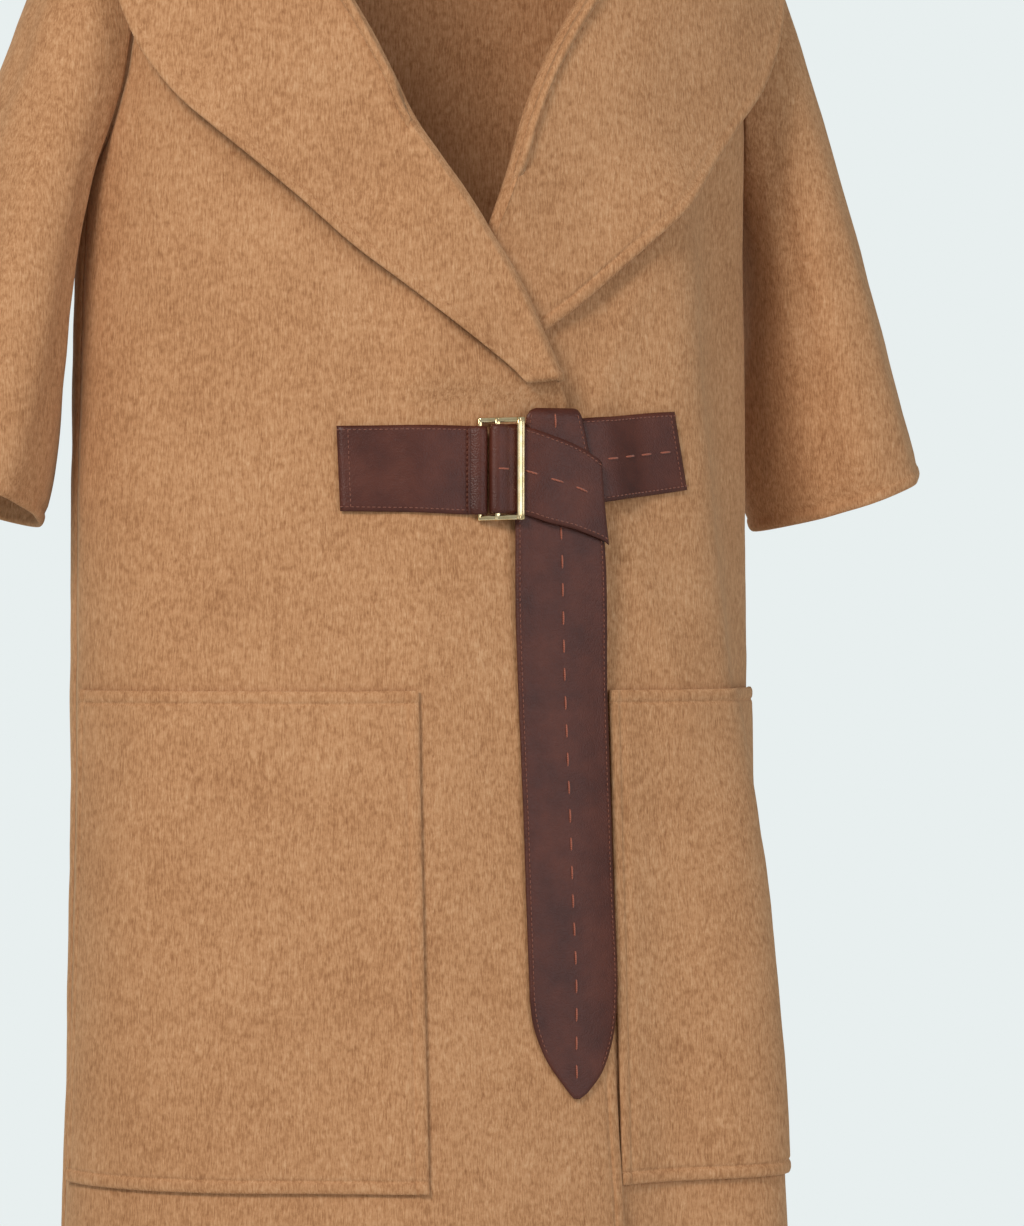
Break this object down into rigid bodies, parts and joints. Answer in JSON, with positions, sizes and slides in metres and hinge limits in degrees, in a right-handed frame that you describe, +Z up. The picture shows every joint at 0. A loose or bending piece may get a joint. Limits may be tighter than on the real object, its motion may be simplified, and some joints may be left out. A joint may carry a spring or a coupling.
{
  "type": "wool cape",
  "caption": "Hollow worn wool cape coat with a wide shawl collar, half sleeves, patch pockets and a buckled leather strap closure.",
  "frame": {"origin": "on the body's axis at the height of the neck ends of the shoulder seams, where the wearer's shoulders and neck hold the coat", "axes": "+Z up, the front faces -Y, +X towards the wearer's left side"},
  "size_m": [0.6464, 0.3284, 1.0794],
  "materials": {
    "wool": "matte",
    "leather": "satin",
    "gold": "polished"
  },
  "bodies": {
    "root": {"front_right": "wool", "front_left": "wool", "back": "wool", "sleeve_right": "wool", "sleeve_left": "wool", "collar_right": "wool", "collar_left": "wool", "pocket_right": "wool", "pocket_left": "wool", "tab": "leather", "strap_base": "leather", "strap_wrap": "leather", "strap_tail": "leather", "buckle": "gold"}
  },
  "joints": []
}
